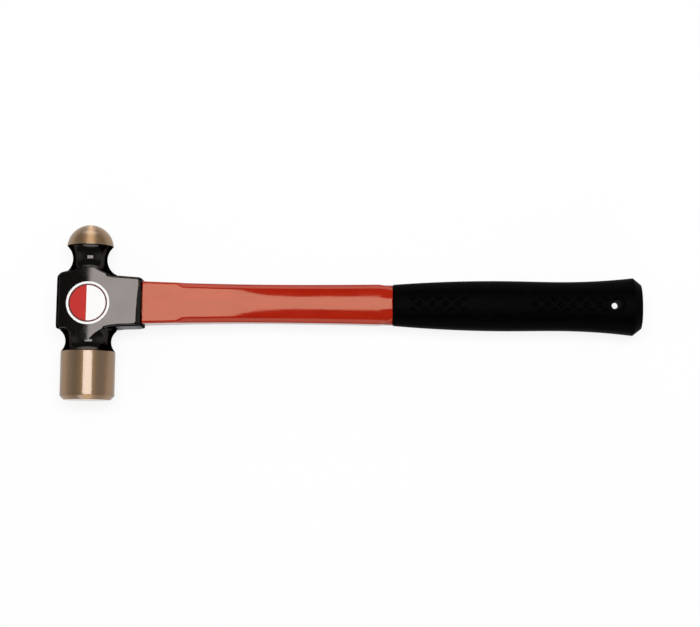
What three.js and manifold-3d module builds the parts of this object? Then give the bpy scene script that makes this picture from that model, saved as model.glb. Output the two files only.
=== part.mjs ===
// A ball peen hammer: a forged head bonded with resin to a jacketed fibreglass handle.
// Millimetres. The hammer lies on its side. +X runs from the head to the butt, +Y from
// the eye to the ball, and +Z up. The origin is under the middle of the hammer, on the
// surface that it lies on.

import * as THREE from 'three';
import { mergeVertices } from 'three/addons/utils/BufferGeometryUtils.js';
import Module from 'manifold-3d';

const wasm = await Module();
wasm.setup();

// Head. Heights are along the head's axis, from the middle of the eye.
const headLength = 102.8;
const faceToEye = 56.7;
const pollRadius = 15.85;
const pollLength = 28.2;
const faceChamfer = 2.3;
const lowerNeckDepth = 2.6;
const lowerNeckHollow = 8;
const ballRadius = 13.5;
const ballLip = 0.8;
const upperNeckDepth = 3.48;
const upperNeckHollow = 10;
const shoulderSetback = 1.1;

// Eye boss and its cheeks, which taper towards the ball
const eyeFaceReach = 17.4;
const eyeLength = 49;
const bossHalfHeight = 14.4;
const cheekHalfThickness = 12.2;
const cheekTaperDegrees = 2.4;
const cheekStock = 0.3;
const topEdgeRound = 2.2;
const bottomEdgeRound = 1.5;
const farBevel = 2.4;
const handleBevel = 1.2;

// Eye: an oval hole, narrowest halfway along
const eyeHalfHeight = 10.8;
const eyeHalfWidth = 7;
const eyeFlare = 0.8;
const eyeSquareness = 2.6;
const resinRecess = 0.6;

// Fibreglass core, from the eye into the grip
const coreHalfHeight = 9.3;
const coreHalfWidth = 5.4;
const coreCorner = 4.2;
const coreToHole = 8;

// Jacket: heights are across the hammer's side view, depths are across its thickness
const jacketHeadHeight = 24.6;
const jacketWaistHeight = 22.2;
const jacketGripHeight = 23.6;
const jacketHeadDepth = 17.4;
const jacketWaistDepth = 16.4;
const jacketGripDepth = 17;
const jacketEdge = 0.8;
const jacketChamfer = 2.7;
const jacketChamferDrop = 2.2;
const jacketCrown = 0.8;
const chamferStart = 20;
const chamferRunIn = 3.6;
const chamferRunOut = 9;
const crownStart = 24;
const crownRunIn = 66;

// Grip
const gripStart = 177.7;
const gripLength = 145.9;
const collarHeight = 24.2;
const swellHeight = 29.4;
const waistHeight = 28.7;
const buttHeight = 33.8;
const collarDepth = 17.8;
const swellDepth = 23.6;
const waistDepth = 22.8;
const buttDepth = 26.4;
const collarEdge = 0.5;
const swellFromStart = 64;
const waistFromEnd = 49.2;
const buttChamferLength = 4.1;
const buttChamferDrop = 3.4;
const buttCrown = 1.8;
const gripSquareness = 2.3;

// Hang hole: two cones that meet halfway through the grip
const holeFromEnd = 16;
const holeAboveAxis = 0.7;
const holeWaistRadius = 1.7;
const holeMouthRadius = 4.3;

// Round label on the near cheek
const labelRadius = 12.5;
const labelThickness = 0.3;
const labelFromHeadAxis = 1.2;
const labelBelowEye = 1;

// Clearance between pieces, and how far a cut runs past what it cuts
const seatGap = 0.3;
const overrun = 3;

// Facets
const headSides = 64;
const arcSteps = 10;
const ballSteps = 12;
const cornerSteps = 4;
const holeSides = 24;
const labelSides = 48;
const ovalSides = 40;

// Places worked out from the sizes
const ballTop = headLength - faceToEye;
const ballCentre = ballTop - ballRadius;
const ballEdge = ballCentre + ballLip;
const ballEdgeRadius = Math.sqrt(ballRadius ** 2 - ballLip ** 2);
const upperNeckRadius = ballEdgeRadius - upperNeckDepth;
const lowerNeckRadius = pollRadius - lowerNeckDepth;
const shoulderRadius = eyeFaceReach - shoulderSetback;
const pollShoulder = pollLength - faceToEye;
const upperNeckAt = ballEdge - arcReach(upperNeckHollow, upperNeckDepth);
const lowerNeckAt = pollShoulder + arcReach(lowerNeckHollow, lowerNeckDepth);
const topShoulder = upperNeckAt - arcReach(upperNeckHollow, shoulderRadius - upperNeckRadius);
const bottomShoulder = lowerNeckAt + arcReach(lowerNeckHollow, shoulderRadius - lowerNeckRadius);
const cheekTaper = THREE.MathUtils.degToRad(cheekTaperDegrees);
const handleFace = eyeLength - eyeFaceReach;
const jacketStart = handleFace + seatGap;
const jacketEnd = gripStart - seatGap;
const buttEnd = gripStart + gripLength;
const holeAt = buttEnd - holeFromEnd;
const coreStart = resinRecess - eyeFaceReach;
const coreEnd = holeAt - coreToHole;

// Half-chord of a hollow arc at a given rise from its deepest point
function arcReach(radius, rise) {
  return Math.sqrt(radius ** 2 - (radius - rise) ** 2);
}

// Half the thickness of the head between its cheeks at a height above the eye
function cheekAt(height) {
  return cheekHalfThickness - height * Math.tan(cheekTaper);
}

// Eased change from 0 to 1: quick at first, quick at last, or slow at both ends
function easeOut(share) {
  return 1 - (1 - share) ** 2;
}

function easeIn(share) {
  return share ** 2;
}

function easeBoth(share) {
  return THREE.MathUtils.smoothstep(share, 0, 1);
}

// Share of the way from start to end, held between 0 and 1
function shareAlong(place, start, end) {
  return THREE.MathUtils.clamp((place - start) / (end - start), 0, 1);
}

// Closed solid for joining and cutting, with shared corners and no empty triangles
function solidOf(geometry) {
  const bare = geometry.clone();
  bare.deleteAttribute('normal');
  bare.deleteAttribute('uv');
  const merged = mergeVertices(bare);
  const corners = merged.index.array;
  const kept = [];
  for (let i = 0; i < corners.length; i += 3) {
    const [a, b, c] = corners.slice(i, i + 3);
    if (a !== b && b !== c && c !== a) {
      kept.push(a, b, c);
    }
  }
  return new wasm.Manifold(new wasm.Mesh({
    numProp: 3,
    vertProperties: new Float32Array(merged.attributes.position.array),
    triVerts: new Uint32Array(kept),
  }));
}

function geometryOf(solid) {
  const mesh = solid.getMesh();
  const geometry = new THREE.BufferGeometry();
  geometry.setAttribute('position', new THREE.BufferAttribute(mesh.vertProperties, 3));
  geometry.setIndex(new THREE.BufferAttribute(mesh.triVerts, 1));
  geometry.computeVertexNormals();
  return geometry;
}

// Body skinned through rings of equal count that follow +X, closed by a flat fan at each end
function loft(rings) {
  const count = rings[0].length;
  const places = rings.flat();
  const faces = [];
  for (let ring = 0; ring < rings.length - 1; ring += 1) {
    for (let i = 0; i < count; i += 1) {
      const here = ring * count + i;
      const next = ring * count + ((i + 1) % count);
      faces.push(here, next, next + count, here, next + count, here + count);
    }
  }
  const first = places.push(middleOf(rings[0])) - 1;
  const last = places.push(middleOf(rings[rings.length - 1])) - 1;
  const lastRing = (rings.length - 1) * count;
  for (let i = 0; i < count; i += 1) {
    const next = (i + 1) % count;
    faces.push(first, next, i);
    faces.push(last, lastRing + i, lastRing + next);
  }
  const geometry = new THREE.BufferGeometry().setFromPoints(places);
  geometry.setIndex(faces);
  return geometry;
}

function middleOf(ring) {
  const sum = ring.reduce((total, place) => total.add(place), new THREE.Vector3());
  return sum.divideScalar(ring.length);
}

// Points of an arc, from one angle to another
function arc(centreX, centreY, radius, from, to, steps) {
  return Array.from({ length: steps + 1 }, (_, i) => {
    const angle = THREE.MathUtils.lerp(from, to, i / steps);
    return new THREE.Vector2(centreX + radius * Math.cos(angle), centreY + radius * Math.sin(angle));
  });
}

// Ring at one place along X from a quarter outline of (height, depth) points that starts
// on the height axis and ends on the depth axis
function ringFromQuarter(place, quarter) {
  const upper = quarter.slice(0, -1);
  const turned = quarter.slice(1).reverse();
  const ring = [
    ...upper.map((p) => [p.x, p.y]),
    ...turned.map((p) => [-p.x, p.y]),
    ...upper.map((p) => [-p.x, -p.y]),
    ...turned.map((p) => [p.x, -p.y]),
  ];
  return ring.map(([height, depth]) => new THREE.Vector3(place, height, depth));
}

// Prism along X of a shape drawn with its heights along Y and its depths along Z
function prismAlongX(shape, from, to) {
  const geometry = new THREE.ExtrudeGeometry(shape, {
    depth: to - from,
    bevelEnabled: false,
    curveSegments: cornerSteps,
  });
  const basis = new THREE.Matrix4().makeBasis(
    new THREE.Vector3(0, 1, 0),
    new THREE.Vector3(0, 0, 1),
    new THREE.Vector3(1, 0, 0),
  );
  return geometry.applyMatrix4(basis).translate(from, 0, 0);
}

// Poll, necks and ball, turned in one piece about the head's axis
function turnedHead() {
  const lowerArcRadius = lowerNeckRadius + lowerNeckHollow;
  const upperArcRadius = upperNeckRadius + upperNeckHollow;
  const lowerStart = Math.atan2(pollShoulder - lowerNeckAt, pollRadius - lowerArcRadius);
  const lowerEnd = Math.atan2(bottomShoulder - lowerNeckAt, shoulderRadius - lowerArcRadius);
  const upperStart = Math.atan2(topShoulder - upperNeckAt, shoulderRadius - upperArcRadius);
  const upperEnd = Math.atan2(ballEdge - upperNeckAt, ballEdgeRadius - upperArcRadius);
  const turn = 2 * Math.PI;
  const profile = [
    new THREE.Vector2(0, -faceToEye),
    new THREE.Vector2(pollRadius - faceChamfer, -faceToEye),
    new THREE.Vector2(pollRadius, faceChamfer - faceToEye),
    ...arc(lowerArcRadius, lowerNeckAt, lowerNeckHollow, lowerStart + turn, lowerEnd, arcSteps),
    ...arc(upperArcRadius, upperNeckAt, upperNeckHollow, upperStart + turn, upperEnd, arcSteps),
    ...arc(0, ballCentre, ballRadius, Math.asin(ballLip / ballRadius), Math.PI / 2, ballSteps).slice(1),
  ];
  profile[profile.length - 1].x = 0;
  return new THREE.LatheGeometry(profile, headSides);
}

// Outline of the eye boss in side view, as shares of the eye's length and of its half-height:
// along, top, bottom. The shoulder behind the ball neck is higher than the handle side.
const bossOutlineShares = [
  [0, 1.06, 1.08],
  [0.045, 1.17, 1.13],
  [0.09, 1.22, 1.12],
  [0.18, 1.28, 1.1],
  [0.27, 1.33, 1.1],
  [0.37, 1.33, 1.1],
  [0.47, 1.23, 1.09],
  [0.56, 1.14, 1.12],
  [0.65, 1.08, 1.05],
  [0.75, 1.055, 1.005],
  [0.975, 1, 0.985],
  [1, 0.97, 0.96],
];

// Ring of the eye boss: tapered cheeks, a top and a bottom, and rounded edges between them.
// The cheeks keep some stock, which the cheek cutters take off.
function bossRing(place, top, bottom, bevel) {
  const cheekEdge = (height) => cheekAt(height) + cheekStock - bevel;
  const topCorner = arc(top - topEdgeRound, 0, topEdgeRound, 0, Math.PI / 2, cornerSteps);
  const bottomCorner = arc(bottomEdgeRound - bottom, 0, bottomEdgeRound, Math.PI / 2, Math.PI, cornerSteps);
  const side = [
    ...topCorner.map((p) => [p.x, cheekEdge(p.x) - topEdgeRound + p.y]),
    ...bottomCorner.map((p) => [p.x, cheekEdge(p.x) - bottomEdgeRound + p.y]),
  ];
  const back = side.map(([height, depth]) => [height, -depth]).reverse();
  return [...side, ...back].map(([height, depth]) => new THREE.Vector3(place, height, depth));
}

function eyeBoss() {
  const last = bossOutlineShares.length - 1;
  return loft(bossOutlineShares.map(([along, topShare, bottomShare], i) => {
    const endBevels = new Map([[0, farBevel], [last, handleBevel]]);
    const bevel = endBevels.get(i) ?? 0;
    const place = along * eyeLength - eyeFaceReach;
    return bossRing(place, topShare * bossHalfHeight, bottomShare * bossHalfHeight, bevel);
  }));
}

// Wedge that takes off what stands outside one cheek, between the two necks
function cheekCutter(side) {
  const outside = shoulderRadius + overrun;
  const shape = new THREE.Shape([
    new THREE.Vector2(lowerNeckAt, side * cheekAt(lowerNeckAt)),
    new THREE.Vector2(upperNeckAt, side * cheekAt(upperNeckAt)),
    new THREE.Vector2(upperNeckAt, side * outside),
    new THREE.Vector2(lowerNeckAt, side * outside),
  ]);
  return prismAlongX(shape, -eyeFaceReach - overrun, handleFace + overrun);
}

// Oval body of the eye, flared towards both faces, or of the resin inside it
function eyeBody(from, to, clearance) {
  const stations = 2 * cornerSteps;
  return loft(Array.from({ length: stations + 1 }, (_, i) => {
    const place = THREE.MathUtils.lerp(from, to, i / stations);
    const fromMiddle = (place + eyeFaceReach) / eyeLength * 2 - 1;
    const grow = eyeFlare * fromMiddle ** 2 - clearance;
    return ovalRing(place, eyeHalfHeight + grow, eyeHalfWidth + grow, eyeSquareness);
  }));
}

// Oval ring, squarer as its power goes up
function ovalRing(place, halfHeight, halfWidth, power) {
  return Array.from({ length: ovalSides }, (_, i) => {
    const angle = 2 * Math.PI * i / ovalSides;
    const height = Math.sign(Math.cos(angle)) * Math.abs(Math.cos(angle)) ** (2 / power);
    const depth = Math.sign(Math.sin(angle)) * Math.abs(Math.sin(angle)) ** (2 / power);
    return new THREE.Vector3(place, halfHeight * height, halfWidth * depth);
  });
}

function headSolid() {
  return solidOf(turnedHead())
    .add(solidOf(eyeBoss()))
    .subtract(solidOf(cheekCutter(1)))
    .subtract(solidOf(cheekCutter(-1)))
    .subtract(solidOf(eyeBody(-eyeFaceReach - overrun, handleFace + overrun, 0)));
}

// Rounded rectangle of the core, or of the hole for it
function coreShape(clearance) {
  const height = coreHalfHeight + clearance;
  const width = coreHalfWidth + clearance;
  const corner = coreCorner + clearance;
  const shape = new THREE.Shape();
  shape.absarc(height - corner, width - corner, corner, 0, Math.PI / 2);
  shape.absarc(corner - height, width - corner, corner, Math.PI / 2, Math.PI);
  shape.absarc(corner - height, corner - width, corner, Math.PI, 1.5 * Math.PI);
  shape.absarc(height - corner, corner - width, corner, 1.5 * Math.PI, 2 * Math.PI);
  return shape;
}

function coreBody(from, to, clearance) {
  return prismAlongX(coreShape(clearance), from, to);
}

// Resin in the eye, round the tenon
function resinSolid() {
  const outer = eyeBody(coreStart, handleFace, seatGap);
  return solidOf(outer).subtract(solidOf(coreBody(coreStart - overrun, handleFace + overrun, seatGap)));
}

// Height or depth of the jacket: it narrows from the head to a waist and widens to the grip
function jacketSize(place, atHead, atWaist, atGrip) {
  const waist = THREE.MathUtils.lerp(jacketStart, jacketEnd, 0.5);
  const narrowed = THREE.MathUtils.lerp(atHead, atWaist, easeOut(shareAlong(place, jacketStart, waist)));
  return narrowed + (atGrip - atWaist) * easeIn(shareAlong(place, waist, jacketEnd));
}

// Ring of the jacket. The edges are nearly square by the head, run into chamfers and fade
// into an oval by the grip, while the flat faces become crowned.
function jacketRing(place) {
  const height = jacketSize(place, jacketHeadHeight, jacketWaistHeight, jacketGripHeight) / 2;
  const depth = jacketSize(place, jacketHeadDepth, jacketWaistDepth, jacketGripDepth) / 2;
  const chamferOn = jacketStart + chamferStart;
  const chamferShare = shareAlong(place, chamferOn, chamferOn + chamferRunIn);
  const chamfer = THREE.MathUtils.lerp(jacketEdge, jacketChamfer, chamferShare);
  const drop = THREE.MathUtils.lerp(jacketEdge, jacketChamferDrop, chamferShare);
  const crownOn = jacketStart + crownStart;
  const crown = jacketCrown * easeBoth(shareAlong(place, crownOn, crownOn + crownRunIn));
  const ovalShare = easeBoth(shareAlong(place, jacketEnd - chamferRunOut, jacketEnd));
  const flat = height - chamfer;
  const edgeDepth = depth - crown;
  const quarter = [
    new THREE.Vector2(height, 0),
    new THREE.Vector2(height, (edgeDepth - drop) / 2),
    new THREE.Vector2(height, edgeDepth - drop),
    new THREE.Vector2(height - chamfer / 2, edgeDepth - drop / 2),
  ];
  for (let i = cornerSteps; i >= 0; i -= 1) {
    const across = i / cornerSteps;
    quarter.push(new THREE.Vector2(flat * across, depth - crown * across ** 2));
  }
  const rounded = quarter.map((p) => {
    const angle = Math.atan2(p.y / depth, p.x / height);
    return p.clone().lerp(new THREE.Vector2(height * Math.cos(angle), depth * Math.sin(angle)), ovalShare);
  });
  return ringFromQuarter(place, rounded);
}

function jacketSolid() {
  const chamferOn = jacketStart + chamferStart;
  const chamferFull = chamferOn + chamferRunIn;
  const fadeOn = jacketEnd - chamferRunOut;
  const places = [
    ...between(jacketStart, chamferOn, cornerSteps),
    ...between(chamferOn, chamferFull, cornerSteps),
    ...between(chamferFull, fadeOn, arcSteps),
    ...between(fadeOn, jacketEnd, cornerSteps),
    jacketEnd,
  ];
  const outer = loft(places.map(jacketRing));
  return solidOf(outer).subtract(solidOf(coreBody(jacketStart - overrun, jacketEnd + overrun, seatGap)));
}

// Even places from start up to, but not including, end
function between(start, end, steps) {
  return Array.from({ length: steps }, (_, i) => THREE.MathUtils.lerp(start, end, i / steps));
}

// Height or depth of the grip: collar, swell, waist and butt
function gripSize(place, atCollar, atSwell, atWaist, atButt) {
  const swell = gripStart + swellFromStart;
  const waist = buttEnd - waistFromEnd;
  const rim = buttEnd - buttCrown - buttChamferLength;
  if (place < swell) {
    return THREE.MathUtils.lerp(atCollar, atSwell, easeOut(shareAlong(place, gripStart, swell)));
  }
  if (place < waist) {
    return THREE.MathUtils.lerp(atSwell, atWaist, easeBoth(shareAlong(place, swell, waist)));
  }
  return THREE.MathUtils.lerp(atWaist, atButt, easeIn(shareAlong(place, waist, rim)));
}

function gripRing(place, inset) {
  const height = gripSize(place, collarHeight, swellHeight, waistHeight, buttHeight) / 2;
  const depth = gripSize(place, collarDepth, swellDepth, waistDepth, buttDepth) / 2;
  return ovalRing(place, height - inset, depth - inset, gripSquareness);
}

// Rings of the grip's end: a chamfer, then a low crown
function buttRings() {
  const crownStartAt = buttEnd - buttCrown;
  const height = buttHeight / 2 - buttChamferDrop;
  const depth = buttDepth / 2 - buttChamferDrop;
  return between(0, 1, cornerSteps).map((share) => {
    const place = crownStartAt + buttCrown * easeOut(share);
    return ovalRing(place, height * (1 - share), depth * (1 - share), gripSquareness);
  });
}

function gripSolid() {
  const swell = gripStart + swellFromStart;
  const waist = buttEnd - waistFromEnd;
  const rim = buttEnd - buttCrown - buttChamferLength;
  const places = [
    ...between(gripStart + collarEdge, swell, arcSteps),
    ...between(swell, waist, cornerSteps),
    ...between(waist, rim, cornerSteps + cornerSteps),
    rim,
  ];
  const outer = loft([
    gripRing(gripStart, collarEdge),
    ...places.map((place) => gripRing(place, 0)),
    ...buttRings(),
  ]);
  return solidOf(outer)
    .subtract(solidOf(coreBody(gripStart - overrun, coreEnd + seatGap, seatGap)))
    .subtract(solidOf(hangHole()));
}

// Double cone of the hang hole, across the grip's depth
function hangHole() {
  const reach = buttDepth / 2;
  const past = reach + overrun;
  const wide = THREE.MathUtils.lerp(holeWaistRadius, holeMouthRadius, past / reach);
  const profile = [
    new THREE.Vector2(0, -past),
    new THREE.Vector2(wide, -past),
    new THREE.Vector2(holeWaistRadius, 0),
    new THREE.Vector2(wide, past),
    new THREE.Vector2(0, past),
  ];
  const cones = new THREE.LatheGeometry(profile, holeSides);
  return cones.rotateX(Math.PI / 2).translate(holeAt, holeAboveAxis, 0);
}

function material(color, roughness, metalness) {
  return new THREE.MeshStandardMaterial({ color, roughness, metalness });
}

function piece(name, geometry, finish) {
  const mesh = new THREE.Mesh(geometry, finish);
  mesh.name = name;
  return mesh;
}

// The label lies on the near cheek and leans with it
function labelGroup() {
  const disc = new THREE.CylinderGeometry(labelRadius, labelRadius, labelThickness, labelSides);
  const label = piece('head_label', disc.rotateX(Math.PI / 2), material(0xe1231e, 0.45, 0));
  label.position.z = seatGap + labelThickness / 2;
  const cheek = new THREE.Group();
  cheek.position.set(labelFromHeadAxis, -labelBelowEye, cheekAt(-labelBelowEye));
  cheek.rotation.x = -cheekTaper;
  cheek.add(label);
  return cheek;
}

const hammer = new THREE.Group();
hammer.add(piece('head', geometryOf(headSolid()), material(0x101317, 0.3, 0.6)));
hammer.add(labelGroup());
hammer.add(piece('epoxy_bond', geometryOf(resinSolid()), material(0xc9a25a, 0.35, 0)));
hammer.add(piece('handle_core', coreBody(coreStart, coreEnd, 0), material(0xd9cfa4, 0.5, 0)));
hammer.add(piece('handle_jacket', geometryOf(jacketSolid()), material(0xb01c10, 0.25, 0)));
hammer.add(piece('grip', geometryOf(gripSolid()), material(0x121212, 0.65, 0)));

// The hammer is moved so that the origin is under its middle, at the height of its lowest point
const box = new THREE.Box3().setFromObject(hammer, true);
const middle = box.getCenter(new THREE.Vector3());
hammer.position.set(-middle.x, -middle.y, -box.min.z);

export default hammer;
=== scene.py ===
"""A ball peen hammer with a resin-bonded fibreglass handle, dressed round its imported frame.

Lengths are metres. The hammer lies on its side: +X runs from the head to the butt, +Y from the
eye to the ball and +Z up.
"""

from __future__ import annotations

import logging
import math
from abc import ABC, abstractmethod
from collections.abc import Callable, Iterator
from contextlib import contextmanager
from dataclasses import dataclass, field
from enum import Enum

import bpy
from mathutils import Matrix, Vector


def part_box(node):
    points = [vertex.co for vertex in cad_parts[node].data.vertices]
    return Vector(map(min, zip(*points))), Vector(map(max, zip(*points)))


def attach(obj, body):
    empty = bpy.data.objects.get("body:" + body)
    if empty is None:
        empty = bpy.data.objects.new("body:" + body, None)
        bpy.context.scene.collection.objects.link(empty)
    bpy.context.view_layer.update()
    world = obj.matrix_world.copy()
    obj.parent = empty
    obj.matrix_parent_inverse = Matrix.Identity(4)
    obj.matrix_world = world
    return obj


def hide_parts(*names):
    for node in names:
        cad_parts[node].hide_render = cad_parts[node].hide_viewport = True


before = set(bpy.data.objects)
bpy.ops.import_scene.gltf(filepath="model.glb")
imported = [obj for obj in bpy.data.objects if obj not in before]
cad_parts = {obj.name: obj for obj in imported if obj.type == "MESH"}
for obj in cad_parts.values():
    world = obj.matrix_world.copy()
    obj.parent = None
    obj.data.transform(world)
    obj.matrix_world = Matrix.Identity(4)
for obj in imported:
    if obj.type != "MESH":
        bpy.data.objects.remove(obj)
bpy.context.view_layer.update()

MM = 0.001
HAIR = 0.05 * MM  # slack where places are compared
WELD = 0.001 * MM  # points closer than this are one
OVERRUN = 1 * MM  # how far a cutting body reaches past the piece
NOISE_RANGE = (0.3, 0.7)  # where most of a noise lies
LOG = logging.getLogger("hammer")

Colour = tuple[float, float, float]
Inputs = dict[str | int, object]
Piece = bpy.types.Object
Point = tuple[float, float]
Socket = bpy.types.NodeSocket
Triple = tuple[float, float, float]


class Body(Enum):
    """Bodies of the frame that pieces ride on."""

    ROOT = "root"


class Slot(Enum):
    """Material slots of the record, named for the new pieces."""

    STEEL = "forged_steel"
    JACKET = "red_jacket"
    RUBBER = "black_rubber"
    LABEL = "label"


class Cut(Enum):
    """Ways to combine two solids."""

    JOIN = "UNION"
    TAKE_AWAY = "DIFFERENCE"


# Bench: the operators that the pieces share


def deselect() -> None:
    """Deselects every object."""
    bpy.ops.object.select_all(action="DESELECT")


def hold(piece: Piece) -> None:
    """Makes one object the only selected and active one.

    Args:
        piece: the object.
    """
    deselect()
    piece.select_set(True)
    bpy.context.view_layer.objects.active = piece


@contextmanager
def editing(piece: Piece) -> Iterator[None]:
    """Opens an object in edit mode and closes it afterwards.

    Args:
        piece: the object.

    Yields:
        Nothing, while the object is open.
    """
    hold(piece)
    bpy.ops.object.mode_set(mode="EDIT")
    yield
    bpy.ops.object.mode_set(mode="OBJECT")


def pick(kind: str, action: str = "SELECT") -> None:
    """Selects or deselects all of the open mesh, by its vertices, edges or faces."""
    bpy.ops.mesh.select_mode(type=kind)
    bpy.ops.mesh.select_all(action=action)


def named(name: str) -> Piece:
    """Names the object that was just added, and its mesh.

    Args:
        name: the piece's name.

    Returns:
        The active object.
    """
    piece = bpy.context.view_layer.objects.active
    piece.name = name
    piece.data.name = name
    return piece


def bake(piece: Piece) -> None:
    """Applies an object's place to its mesh."""
    hold(piece)
    bpy.ops.object.transform_apply(location=True, rotation=True, scale=True)


def settle(piece: Piece, place: Matrix) -> None:
    """Moves a piece to the place where its origin and axes belong, and applies that to its mesh."""
    piece.matrix_world = place
    bake(piece)


def block(name: str, middle: Triple, size: Triple) -> Piece:
    """Makes a plain block to work from.

    Args:
        name: the new object's name.
        middle: the place of its middle.
        size: its size along X, Y and Z.

    Returns:
        The block.
    """
    deselect()
    bpy.ops.mesh.primitive_cube_add(size=1, location=middle, scale=size)
    made = named(name)
    bake(made)
    return made


def finish_with(piece: Piece, kind: str, **settings: object) -> None:
    """Adds a modifier to a piece and applies it.

    Args:
        piece: the object.
        kind: the modifier's type.
        settings: values of the modifier.
    """
    hold(piece)
    bpy.ops.object.modifier_add(type=kind)
    modifier = piece.modifiers[-1]
    for key, value in settings.items():
        setattr(modifier, key, value)
    bpy.ops.object.modifier_apply(modifier=modifier.name)


def combine(piece: Piece, tool: Piece, cut: Cut) -> None:
    """Joins a tool to a piece or takes it away, and removes the tool."""
    finish_with(piece, "BOOLEAN", operation=cut.value, object=tool, solver="MANIFOLD")
    bpy.data.objects.remove(tool, do_unlink=True)


def bevel(piece: Piece, width: float, segments: int, wanted: Callable[[Vector, Vector], bool]) -> None:
    """Bevels the edges whose two ends pass a test.

    Args:
        piece: the object.
        width: the bevel's width.
        segments: its facets.
        wanted: says from an edge's two ends whether it is bevelled.
    """
    with editing(piece):
        pick("EDGE", "DESELECT")
    corners = piece.data.vertices
    for edge in piece.data.edges:
        edge.select = wanted(*(corners[i].co for i in edge.vertices))
    with editing(piece):
        bpy.ops.mesh.select_mode(type="EDGE")
        bpy.ops.mesh.bevel(offset=width, segments=segments, affect="EDGES", clamp_overlap=True)


def smooth(piece: Piece, degrees: float) -> None:
    """Shades a piece smooth, apart from edges that are sharper than an angle."""
    hold(piece)
    bpy.ops.object.shade_smooth_by_angle(angle=math.radians(degrees))


def arc(centre: Point, radius: float, start: float, end: float, steps: int) -> list[Point]:
    """Gives the points of an arc between two angles in radians, over a number of chords."""
    angles = [start + (end - start) * i / steps for i in range(steps + 1)]
    return [(centre[0] + radius * math.cos(a), centre[1] + radius * math.sin(a)) for a in angles]


def oval_ring(place: float, half_height: float, half_width: float, power: float, sides: int) -> list[Vector]:
    """Gives an oval section, squarer as its power goes up.

    Args:
        place: its place along X.
        half_height: half its size along Y.
        half_width: half its size along Z.
        power: 2 is an ellipse.
        sides: number of points.

    Returns:
        The points of the ring.
    """
    ring = []
    for i in range(sides):
        angle = 2 * math.pi * i / sides
        height, width = (
            math.copysign(abs(part) ** (2 / power), part) for part in (math.cos(angle), math.sin(angle))
        )
        ring.append(Vector((place, half_height * height, half_width * width)))
    return ring


def share_along(place: float, start: float, end: float) -> float:
    """Gives the share of the way from start to end, held between 0 and 1."""
    return min(max((place - start) / (end - start), 0.0), 1.0)


def blend(low: float, high: float, share: float) -> float:
    """Mixes two values by a share."""
    return low + (high - low) * share


def ease_out(share: float) -> float:
    """Eases a share: quick at first."""
    return 1 - (1 - share) ** 2


def ease_both(share: float) -> float:
    """Eases a share: slow at both ends."""
    return share * share * (3 - 2 * share)


def between(start: float, end: float, steps: int) -> list[float]:
    """Gives even places from start up to, but not including, end."""
    return [start + (end - start) * i / steps for i in range(steps)]


def spun(name: str, profile: list[Point], steps: int) -> Piece:
    """Turns a profile of (radius, height) points about the Y axis.

    Args:
        name: the new object's name.
        profile: points that start and end on the axis.
        steps: facets round the axis.

    Returns:
        The turned solid.
    """
    deselect()
    bpy.ops.mesh.primitive_plane_add(size=MM, location=(0, 0, 0))
    solid = named(name)
    with editing(solid):
        pick("VERT")
        bpy.ops.mesh.merge(type="CENTER")
        bpy.ops.transform.translate(value=(*profile[0], 0))
        for here, there in zip(profile, profile[1:]):
            step = (there[0] - here[0], there[1] - here[1], 0)
            bpy.ops.mesh.extrude_region_move(TRANSFORM_OT_translate={"value": step})
        pick("VERT")
        bpy.ops.mesh.spin(steps=steps, angle=2 * math.pi, center=(0, 0, 0), axis=(0, 1, 0))
        pick("VERT")
        bpy.ops.mesh.remove_doubles(threshold=WELD)
        bpy.ops.mesh.normals_make_consistent(inside=False)
    return solid


def skinned(name: str, rings: list[list[Vector]]) -> Piece:
    """Extrudes a ring along X, gives each section its outline and closes both ends.

    Args:
        name: the new object's name.
        rings: sections of equal count, in order along X.

    Returns:
        The closed solid.
    """
    deselect()
    first = rings[0]
    across = (math.pi / 2, 0, math.pi / 2)
    bpy.ops.mesh.primitive_circle_add(
        vertices=len(first), radius=MM, rotation=across, location=first[0]
    )
    solid = named(name)
    bake(solid)
    with editing(solid):
        pick("VERT")
        for before, after in zip(rings, rings[1:]):
            step = (after[0].x - before[0].x, 0, 0)
            bpy.ops.mesh.extrude_region_move(TRANSFORM_OT_translate={"value": step})
    for vertex, place in zip(solid.data.vertices, (p for ring in rings for p in ring)):
        vertex.co = place
    with editing(solid):
        pick("EDGE", "DESELECT")
        bpy.ops.mesh.select_non_manifold()
        bpy.ops.mesh.edge_face_add()
        bpy.ops.mesh.select_all(action="SELECT")
        bpy.ops.mesh.normals_make_consistent(inside=False)
    return solid


def dress(piece: Piece, *finishes: Finish) -> None:
    """Gives a piece its finishes.

    Args:
        piece: the object.
        finishes: its finishes, in the order of its material slots.
    """
    piece.data.materials.clear()
    for finish in finishes:
        piece.data.materials.append(finish.material())


def ride(piece: Piece, slot: Slot, *nodes: str) -> None:
    """Hands a finished piece to the frame.

    Args:
        piece: the object.
        slot: the record's slot that it stands for; not used.
        nodes: CAD nodes that it stands for.
    """
    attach(piece, Body.ROOT.value)
    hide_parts(*nodes)
    LOG.info("%s: %d faces", piece.name, len(piece.data.polygons))


# Finishes


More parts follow.
